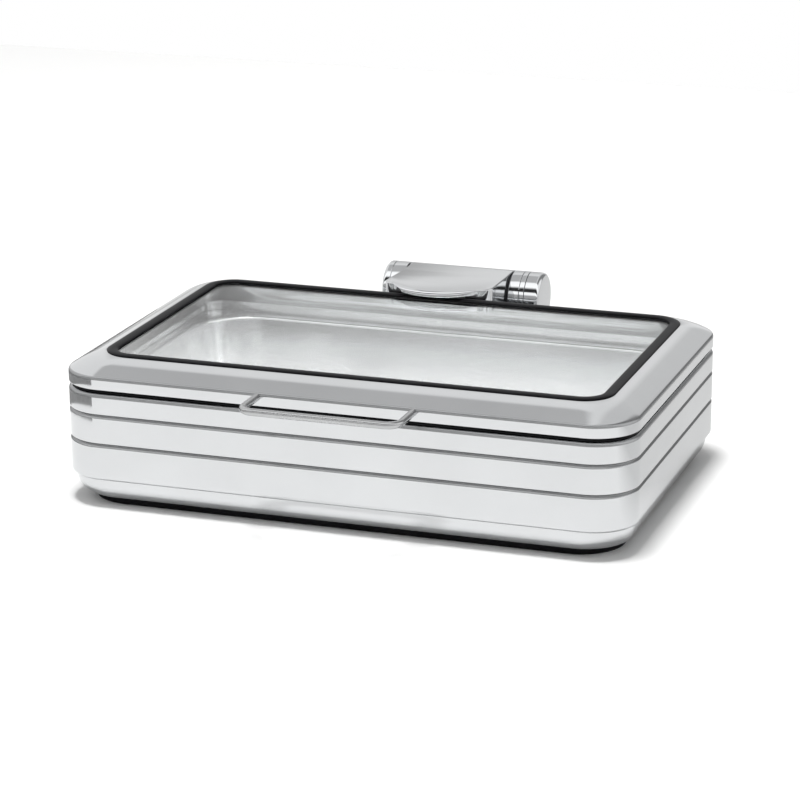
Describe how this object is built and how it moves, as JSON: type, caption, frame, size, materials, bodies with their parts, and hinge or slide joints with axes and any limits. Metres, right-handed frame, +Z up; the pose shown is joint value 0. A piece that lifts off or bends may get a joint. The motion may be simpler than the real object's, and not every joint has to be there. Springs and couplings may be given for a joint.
{
  "type": "chafing dish",
  "caption": "Rectangular polished steel chafing dish with a framed glass lid on a damped rear barrel hinge, a front rod handle, and a food pan seated in a water pan.",
  "frame": {"origin": "on the surface it stands on, under the middle of the closed part's box", "axes": "+X to the right along the long side seen from the handle, +Y from the handle to the hinge, +Z up"},
  "size_m": [0.56, 0.486, 0.1535],
  "materials": {
    "polished_steel": "mirror polished stainless steel",
    "satin_steel": "satin stainless steel",
    "plain_steel": "plain zinc-plated steel",
    "black_rubber": "black silicone rubber",
    "dark_plastic": "dark grey moulded plastic",
    "window_glass": "clear tempered glass"
  },
  "bodies": {
    "base": {"foot_ring": "black_rubber", "body_shell": "polished_steel", "base_plate": "satin_steel", "base_screw_1": "plain_steel", "base_screw_2": "plain_steel", "base_screw_3": "plain_steel", "base_screw_4": "plain_steel", "induction_plate": "plain_steel", "water_pan": "satin_steel", "rim_gasket": "black_rubber", "hinge_knuckle_left": "polished_steel", "hinge_knuckle_right": "polished_steel", "hinge_cap_left": "polished_steel", "hinge_cap_right": "polished_steel", "hinge_collar": "satin_steel", "hinge_shaft": "satin_steel", "hinge_washer_left": "dark_plastic", "hinge_washer_right": "dark_plastic", "backing_plate_left": "satin_steel", "backing_plate_right": "satin_steel", "knuckle_screw_1": "plain_steel", "knuckle_screw_2": "plain_steel", "knuckle_screw_3": "plain_steel", "knuckle_screw_4": "plain_steel"},
    "lid": {"lid_frame": "polished_steel", "lid_liner": "satin_steel", "window_seal": "black_rubber", "window_glass": "window_glass", "handle": "polished_steel", "handle_screw_1": "plain_steel", "handle_screw_2": "plain_steel", "hinge_cover": "polished_steel", "cover_screw_1": "plain_steel", "cover_screw_2": "plain_steel", "hinge_bush_left": "dark_plastic", "hinge_bush_right": "dark_plastic", "hinge_damper_left": "plain_steel", "hinge_damper_right": "plain_steel"},
    "food_pan": {"food_pan": "satin_steel"}
  },
  "joints": [
    {"name": "lid_hinge", "type": "hinge", "parent": "base", "child": "lid", "pos_m": [0, 0.2165, 0.127], "axis": [-1, 0, 0], "range_deg": [0, 90]},
    {"name": "food_pan_lift", "type": "slide", "parent": "base", "child": "food_pan", "axis": [0, 0, 1], "range_m": [0, 0.01]}
  ]
}
